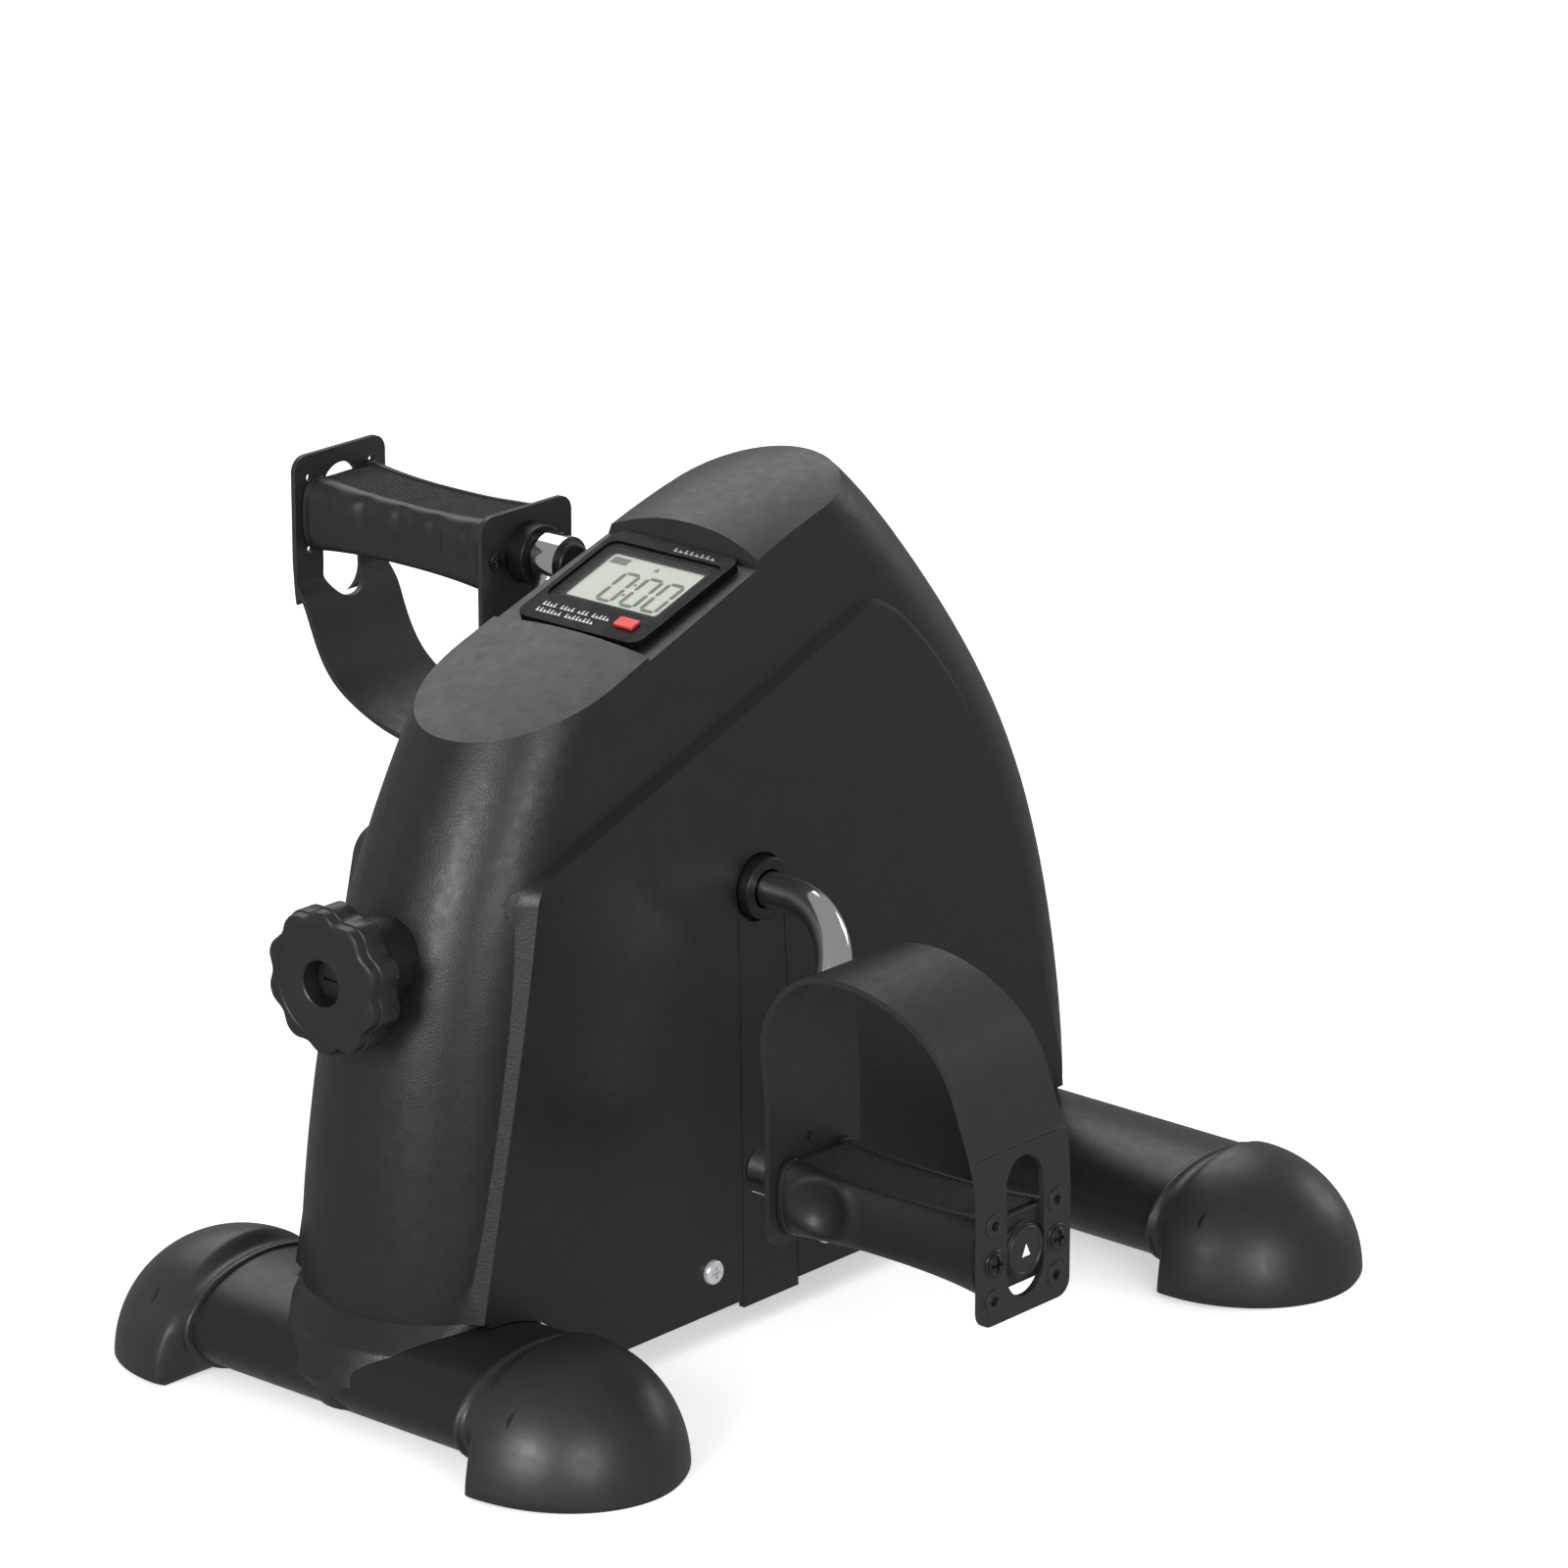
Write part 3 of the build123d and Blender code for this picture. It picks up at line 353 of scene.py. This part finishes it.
def add_treads(name, side):
    """Cross-ribbed rubber let into the grip's flat top and bottom."""
    start, stop = PEDAL_IN + 4.4, PEDAL_OUT - 4.4
    count = int((stop - start) / TREAD_PITCH)
    parts = []
    for sign in (1, -1):
        outline = []
        for i in range(count):
            x = start + (stop - start) * i / count
            outline += [(x, 0.0), (x + 0.35, TREAD_RISE), (x + 1.2, TREAD_RISE), (x + 1.55, 0.0)]
        points, faces = [], []
        width = CHANNEL_Y - 0.12
        for x, lift in outline:
            half_z = waist(x)[1]
            top, base = half_z - 1.15 + lift, half_z - CHANNEL_DEPTH - 0.6
            for y in (-width, width):
                points += [(x, y, sign * base), (x, y, sign * top)]
        for i in range(len(outline) - 1):
            a, b = 4 * i, 4 * (i + 1)
            around = [(0, 1), (1, 3), (3, 2), (2, 0)]
            faces += [(a + p, a + q, b + q, b + p) for p, q in around]
        last = 4 * (len(outline) - 1)
        faces += [(0, 2, 3, 1), (last, last + 1, last + 3, last + 2)]
        if sign < 0:
            faces = [tuple(reversed(face)) for face in faces]
        parts.append((points, faces))
    points, faces = join(parts)
    points = [pedal_place(side, *point) for point in points]
    mesh_piece(f"tread_{name}", points, faces, f"tread_pads_{name}", [f"tread_pads_{name}"],
               smooth=False, flip=side < 0)


def add_medallion(name, side):
    """Rimmed disc on the boss, with a plain triangle printed on it."""
    disc = lathe([(BOSS_OUT - 0.6, MEDAL_R, 0), (BOSS_OUT + 0.25, MEDAL_R, 0),
                  (BOSS_OUT + 0.5, MEDAL_R - 0.3, 0), (BOSS_OUT + 0.5, MEDAL_R - 0.9, 0),
                  (BOSS_OUT + 0.1, MEDAL_R - 1.3, 0), (BOSS_OUT + 0.1, MEDAL_R - 1.9, 0),
                  (BOSS_OUT + 0.25, MEDAL_R - 3.4, 0), (BOSS_OUT + 0.3, 0.5, 0)], 64)
    points = [pedal_place(side, z, x, y) for x, y, z in disc[0]]
    mesh_piece(f"medal_{name}", points, disc[1], f"medallion_{name}", [f"medallion_{name}"], flip=side < 0)
    mark = prism([(-2.1, -1.9), (2.1, -1.9), (0.0, 2.6)], 0.0, 0.12)
    points = [pedal_place(side, z + BOSS_OUT + 0.25, x * side, y) for x, y, z in mark[0]]
    mesh_piece(f"arrow_mark_{name}", points, mark[1], f"medallion_{name}",
               material=MATERIALS["mark_ink"], smooth=False)


# ---------------------------------------------------------------- straps
HOLE_PITCH = 13.7         # between the size holes, along the strap
HOLE_Y = 16.5             # from the strap's middle to each row of holes
HOLE_R = 1.95
EYELET_R, EYELET_RISE = 4.4, 0.55
HEAD_R, HEAD_RISE = 3.7, 1.9
WASHER_R, WASHER_RISE = 5.0, 0.5


def boss_ring(x, y, z, outer, height):
    """Raised eyelet round a hole, its axis along X."""
    points, faces = [], []
    around = 40
    profile = [(-0.3, outer), (height - 0.25, outer), (height, outer - 0.3), (height, HOLE_R + 0.25),
               (height - 0.2, HOLE_R), (-0.3, HOLE_R)]
    for rise, radius in profile:
        for j in range(around):
            angle = 2 * pi * j / around
            points.append((x + rise, y + radius * cos(angle), z + radius * sin(angle)))
    for i in range(len(profile)):
        k = (i + 1) % len(profile)
        for j in range(around):
            m = (j + 1) % around
            faces.append((i * around + j, i * around + m, k * around + m, k * around + j))
    return points, faces


def add_strap_eyelets(name, side):
    """Eyelets of the four free size holes in the end plate."""
    rings = []
    for row in (-1, 1):
        for y in (-HOLE_Y, HOLE_Y):
            rings.append(boss_ring(BOSS_OUT, y, row * HOLE_PITCH, EYELET_R, EYELET_RISE))
    points, faces = join(rings)
    points = [pedal_place(side, *point) for point in points]
    mesh_piece(f"strap_eyelets_{name}", points, faces, f"strap_{name}", flip=side > 0)


def cross_screw(radius, height):
    """Pan head with a cross recess, on the plane at height 0, facing up."""
    around = 64
    points = []
    radii = [radius, radius, 0.93 * radius, 0.8 * radius] + [radius * (0.66 - 0.06 * i) for i in range(11)]
    for i, r in enumerate(radii):
        for j in range(around):
            angle = 2 * pi * (j + 0.5) / around
            x, y = r * cos(angle), r * sin(angle)
            z = 0.0 if i == 0 else height * (1 - 0.55 * (r / radius) ** 3)
            if i > 3 and min(abs(x), abs(y)) < 0.16 * radius:
                z -= 0.6 * height
            points.append((x, y, z))
    return points, rings_to_faces(len(radii), around)


def add_strap_screws(name, side):
    """Two screws through each end of the strap, the outer ones on raised washers."""
    inner = PEDAL_IN - STRAP_T
    parts = []
    for y in (-HOLE_Y, HOLE_Y):
        points, faces = cross_screw(HEAD_R, HEAD_RISE)
        parts.append(([(BOSS_OUT + z, y + x, w) for x, w, z in points], faces))
        points, faces = cross_screw(HEAD_R, HEAD_RISE - 0.1)
        parts.append(([(inner - z, y + x, -w) for x, w, z in points], faces))
        points, faces = boss_ring(BOSS_OUT, y, 0.0, WASHER_R, WASHER_RISE)
        parts.append((points, [tuple(reversed(face)) for face in faces]))
    points, faces = join(parts)
    points = [pedal_place(side, *point) for point in points]
    mesh_piece(f"strap_screw_heads_{name}", points, faces, f"strap_screws_{name}",
               [f"strap_screws_{name}"], flip=side < 0)


for name, side in SIDES:
    add_grip(name, side)
    add_treads(name, side)
    add_medallion(name, side)
    add_strap_eyelets(name, side)
    add_strap_screws(name, side)


# ---------------------------------------------------------------- tension knob
KNOB_LOBES = 10
LOBE_DEPTH = 2.3
LOBE_POWER = 1.3          # above 1 the lobes are broader than the valleys


def add_knob():
    """Lobed knob: rounded back edge, a step behind the face, a rounded front edge and a centre hole."""
    low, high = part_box("tension_knob")
    centre = (low + high) / 2
    depth = (high.y - low.y) / MM
    rim = (high.x - low.x) / 2 / MM - 0.02

    def valley(angle):
        return LOBE_DEPTH * (0.5 - 0.5 * cos(KNOB_LOBES * angle + pi)) ** LOBE_POWER

    profile = [(0, 12.0, 0), (0, rim - 1.6, 0.9), (0.5, rim - 0.6, 1.0), (1.4, rim, 1.0),
               (depth - 4.6, rim, 1.0), (depth - 4.2, rim - 0.15, 1.0), (depth - 3.9, rim - 0.7, 1.0),
               (depth - 3.5, rim - 0.75, 1.0), (depth - 1.6, rim - 0.9, 1.0),
               (depth - 0.7, rim - 1.3, 0.95),
               (depth - 0.15, rim - 2.3, 0.8), (depth, rim - 3.4, 0.55), (depth - 0.05, rim - 4.6, 0.1),
               (depth - 0.1, 20.6, 0), (depth - 0.45, 20.2, 0), (depth - 0.5, 19.4, 0),
               (depth - 0.3, 16.0, 0), (depth - 0.25, 10.4, 0), (depth - 0.05, 9.8, 0),
               (depth - 0.05, 8.9, 0), (depth - 0.5, 8.3, 0), (depth - 7.5, 8.0, 0), (depth - 7.6, 1.0, 0)]
    points, faces = lathe(profile, 24 * KNOB_LOBES, valley)
    points = [(centre.x + x * MM, high.y - z * MM, centre.z + y * MM) for x, y, z in points]
    mesh_piece("knob_lobed", points, faces, "tension_knob", ["tension_knob"])


add_knob()


# ---------------------------------------------------------------- foot caps
COLLAR_GROW_Y, COLLAR_GROW_Z = 2.6, 1.0     # collar's thickness round the tube, at its thickest
CAP_NECK = 12.0           # length of the collar and the groove behind it
CAP_MIDDLE = 14.0         # height that a cap's sections are drawn round
COLLAR_FOOT = 0.35        # share of the collar's thickness left in the groove


def ray_to_ellipse(angle, centre_z, half_y, half_z, start_z):
    """Distance from (0, start_z) along the angle to an ellipse centred at (0, centre_z)."""
    dy, dz = cos(angle) / half_y, sin(angle) / half_z
    offset = (start_z - centre_z) / half_z
    a, b, c = dy * dy + dz * dz, 2 * offset * dz, offset * offset - 1
    return (-b + (b * b - 4 * a * c) ** 0.5) / (2 * a)


def cap_ring(scale, collar, grow, half_y, height, tube):
    """Section of a cap: its flat-bottomed dome at this scale, turned by collar into the neck's oval."""
    around = 96
    tube_y, tube_z, tube_height = tube
    start = CAP_MIDDLE * scale
    ring = []
    for j in range(around):
        angle = 2 * pi * j / around
        low = -start / sin(angle) if sin(angle) < -0.001 else 1e9
        dome = min(ray_to_ellipse(angle, 0.0, half_y * scale, height * scale, start), low)
        neck = ray_to_ellipse(angle, tube_height, tube_y + grow * COLLAR_GROW_Y,
                              tube_z + grow * COLLAR_GROW_Z, CAP_MIDDLE)
        reach = dome * (1 - collar) + neck * collar
        base = start * (1 - collar) + CAP_MIDDLE * collar
        ring.append((reach * cos(angle), max(0.0, base + reach * sin(angle))))
    return ring


def add_cap(end, side_name, side):
    """Foot cap: ring round the tube, concave groove, rounded lip and dome."""
    node = f"{end}_cap_{side_name}"
    low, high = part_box(node)
    tube_low, tube_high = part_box(f"{end}_tube")
    centre_y = (low.y + high.y) / 2
    half_y, height = (high.y - low.y) / 2 / MM, high.z / MM
    tube = ((tube_high.y - tube_low.y) / 2 / MM, (tube_high.z - tube_low.z) / 2 / MM,
            (tube_high.z + tube_low.z) / 2 / MM)
    inner = (low.x if side > 0 else -high.x) / MM
    rim = inner + CAP_NECK
    tip = (high.x if side > 0 else -low.x) / MM
    rows = [(inner, 1.0, 1.0, 0.75), (inner + 0.3, 1.0, 1.0, 1.0), (inner + 1.7, 1.0, 1.0, 1.0),
            (inner + 2.1, 1.0, 1.0, 0.8), (inner + 2.5, 1.0, 1.0, 0.4),
            (inner + 4.2, 1.0, 1.0, COLLAR_FOOT)]
    turn, start = 10, inner + 4.6
    for i in range(1, turn):
        swing = (1 + cos(pi * i / turn)) / 2
        rows.append((start + (rim - 1.0 - start) * i / turn, 1.0, swing, COLLAR_FOOT))
    steps = 28
    for i in range(steps + 1):
        angle = pi / 2 * i / steps
        rows.append((rim + (tip - rim - 0.02) * sin(angle), max(cos(angle), 0.004), 0.0, COLLAR_FOOT))
    points = []
    for x, scale, collar, grow in rows:
        ring = cap_ring(scale, collar, grow, half_y, height, tube)
        points += [(side * x * MM, centre_y + y * MM, z * MM) for y, z in ring]
    faces = rings_to_faces(len(rows), len(points) // len(rows))
    mesh_piece(f"cap_{end}_{side_name}", points, faces, node, [node], flip=side < 0, crease=70.0)


for name, side in SIDES:
    add_cap("front", name, side)
    add_cap("rear", name, side)


# ---------------------------------------------------------------- monitor face
SCREEN_UP = 3.7           # middle of the window above the middle of the face
window_low, window_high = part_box("monitor_window")
press = Vector(JOINTS["monitor_button_press"]["axis"])
FACE_NORMAL = -press.normalized()
FACE_UP = FACE_NORMAL.cross(Vector((1, 0, 0)))
FACE_CENTRE = (window_low + window_high) / 2 - FACE_UP * SCREEN_UP * MM
LCD_TOP = -0.88           # height of the glass under the window, from the window's middle
FACE_TOP = 1.1            # height of the case's face
INK_RISE, PRINT_RISE = 0.06, 0.05
DIGIT_LEFT = (-9.4, 1.4, 11.4)
DIGIT_WIDTH, DIGIT_LOW, DIGIT_HIGH = 8.2, -9.1, 9.8
BAR_WIDTH, BAR_GAP = 1.7, 0.25
COLON_LOW = (-3.6, 3.0)


def face_place(x, y, z):
    """Point of the monitor's face, in mm: x to the right, y up the slope, z out of the face."""
    return FACE_CENTRE + (Vector((1, 0, 0)) * x + FACE_UP * y + FACE_NORMAL * z) * MM


def add_on_face(name, parts, node, ink):
    """One piece made of flat marks on the monitor's face."""
    points, faces = join(parts)
    points = [face_place(*point) for point in points]
    mesh_piece(name, points, faces, node, material=MATERIALS[ink], smooth=False)


def segment(ax, ay, bx, by, width, low, high):
    """Pointed bar of a seven-segment digit."""
    length = hypot(bx - ax, by - ay)
    ux, uy = (bx - ax) / length, (by - ay) / length
    ux, uy = ux * width / 2, uy * width / 2
    outline = [(ax, ay), (ax + ux + uy, ay + uy - ux), (bx - ux + uy, by - uy - ux),
               (bx, by), (bx - ux - uy, by - uy + ux), (ax + ux - uy, ay + uy + ux)]
    return prism(outline, low, high)


def zero(x0, x1, y0, y1):
    """Figure 0 on a seven-segment display, between these edges."""
    middle = (y0 + y1) / 2
    x0, x1 = x0 + BAR_WIDTH / 2, x1 - BAR_WIDTH / 2
    y0, y1 = y0 + BAR_WIDTH / 2, y1 - BAR_WIDTH / 2
    bars = [(x0 + BAR_GAP, y1, x1 - BAR_GAP, y1), (x0 + BAR_GAP, y0, x1 - BAR_GAP, y0)]
    for x in (x0, x1):
        bars += [(x, y0 + BAR_GAP, x, middle - BAR_GAP), (x, middle + BAR_GAP, x, y1 - BAR_GAP)]
    return [segment(*bar, BAR_WIDTH, LCD_TOP, LCD_TOP + INK_RISE) for bar in bars]


def rectangle(x0, x1, y0, y1, low, high):
    return prism([(x0, y0), (x1, y0), (x1, y1), (x0, y1)], low, high)


def tick_row(x0, x1, y0, y1, words):
    """Row of short printed ticks, in groups, in place of words."""
    ticks = []
    pitch = (x1 - x0) / (sum(words) + len(words) - 1)
    x = x0
    for letters in words:
        for i in range(letters):
            top = y1 if (i + letters) % 3 else y1 - 0.35 * (y1 - y0)
            stem, foot = x + pitch * 0.3, y0 + 0.3 * (y1 - y0)
            ticks.append(rectangle(x, stem, y0, top, FACE_TOP, FACE_TOP + PRINT_RISE))
            ticks.append(rectangle(stem, x + pitch * 0.72, y0, foot, FACE_TOP, FACE_TOP + PRINT_RISE))
            x += pitch
        x += pitch
    return ticks


def add_display():
    """Figures 0:00 with a pointer and a status block on the glass, and rows of ticks on the case."""
    ink_top = LCD_TOP + INK_RISE
    figures = []
    for x in DIGIT_LEFT:
        figures += zero(x, x + DIGIT_WIDTH, DIGIT_LOW, DIGIT_HIGH)
    figures += [rectangle(-0.5, 0.5, y, y + 1.2, LCD_TOP, ink_top) for y in COLON_LOW]
    figures.append(prism([(0.2, 13.2), (2.6, 13.2), (1.4, 15.6)], LCD_TOP, ink_top))
    figures.append(rectangle(-20.0, -12.3, 12.5, 16.3, LCD_TOP, ink_top))
    add_on_face("lcd_figures", figures, "lcd_panel", "lcd_ink")
    ticks = tick_row(-22.4, 9.0, -20.9, -18.6, (4, 4, 3, 5)) + tick_row(-22.4, 4.7, -24.7, -22.4, (7, 8))
    add_on_face("face_print", ticks, "monitor_case", "print_ink")
    add_on_face("face_heading", tick_row(0.8, 20.7, 24.3, 26.4, (8,)), "monitor_case", "dim_ink")


add_display()


# ---------------------------------------------------------------- edges of the carried-over parts
EDGES = {"housing_cover": 0.7, "front_saddle": 0.4, "rear_saddle": 0.4, "monitor_case": 0.3,
         "monitor_button": 0.35, "knob_collar": 0.8}
SIDE_EDGES = {"strap": 0.45, "slot_cover": 0.3, "crank_grommet": 0.6, "hub": 0.6}
for node, width in EDGES.items():
    soften(NODES[node], width)
for name, side in SIDES:
    for node, width in SIDE_EDGES.items():
        soften(NODES[f"{node}_{name}"], width)


# ---------------------------------------------------------------- floor, light and camera
def add_floor():
    """Pale floor that glows a little, so that it stays white under the soft light."""
    mesh = bpy.data.meshes.new("floor")
    half = 8.0
    mesh.from_pydata([(-half, -half, 0), (half, -half, 0), (half, half, 0), (-half, half, 0)], [],
                     [(0, 1, 2, 3)])
    floor = bpy.data.objects.new("floor", mesh)
    bpy.context.scene.collection.objects.link(floor)
    paint = surface("floor_paint", grey(0.88), 0.6, 2.0, 0.02, 0.1, 0, 0.01)
    glow = paint.node_tree.nodes["Principled BSDF"].inputs
    glow["Emission Color"].default_value = (1, 1, 1, 1)
    glow["Emission Strength"].default_value = 0.5
    mesh.materials.append(paint)
    floor.visible_glossy = False


def softbox(name, place, width, height, watts):
    """Rectangular area light that points at the object."""
    light = bpy.data.lights.new(name, "AREA")
    light.shape = "RECTANGLE"
    light.size, light.size_y = width, height
    light.energy = watts
    lamp = bpy.data.objects.new(name, light)
    lamp.location = place
    aim = Vector((0, 0, 0.15))
    lamp.rotation_euler = (aim - Vector(place)).to_track_quat("-Z", "Y").to_euler()
    bpy.context.scene.collection.objects.link(lamp)


def add_world():
    """Pale surroundings, dimmer where they are only reflected."""
    world = bpy.data.worlds.new("studio")
    world.use_nodes = True
    tree = world.node_tree
    background = tree.nodes["Background"]
    background.inputs["Color"].default_value = (1, 1, 1, 1)
    ray = tree.nodes.new("ShaderNodeLightPath").outputs["Is Glossy Ray"]
    strength = tree.nodes.new("ShaderNodeMapRange")
    strength.inputs["To Min"].default_value = 0.7
    strength.inputs["To Max"].default_value = 0.3
    tree.links.new(ray, strength.inputs["Value"])
    tree.links.new(strength.outputs["Result"], background.inputs["Strength"])
    bpy.context.scene.world = world


def add_lights():
    softbox("top", (-1.5, 1.0, 2.0), 2.2, 1.8, 23)
    softbox("left", (-2.4, -1.2, 0.8), 0.7, 1.0, 1)
    softbox("front", (0.5, -2.8, 1.3), 1.1, 1.0, 46)
    softbox("front_right", (2.4, -1.25, 1.1), 0.9, 0.9, 22)
    softbox("back", (0.6, 2.9, 1.1), 0.9, 1.2, 9)
    add_world()


def add_camera():
    """Camera on the right of the nose, from a little above, with a long lens."""
    data = bpy.data.cameras.new("camera")
    data.sensor_width = 36.0
    data.lens = 178.3
    camera = bpy.data.objects.new("camera", data)
    azimuth, elevation, distance = radians(41.18), radians(18.24), 2.778
    aim = Vector((0.01922, 0.03378, 0.18794))
    away = Vector((sin(azimuth) * cos(elevation), -cos(azimuth) * cos(elevation), sin(elevation)))
    camera.location = aim + away * distance
    camera.rotation_euler = Euler((pi / 2 - elevation, 0, azimuth))
    bpy.context.scene.collection.objects.link(camera)
    bpy.context.scene.camera = camera


add_floor()
add_lights()
add_camera()
bpy.context.scene.view_settings.view_transform = "Standard"
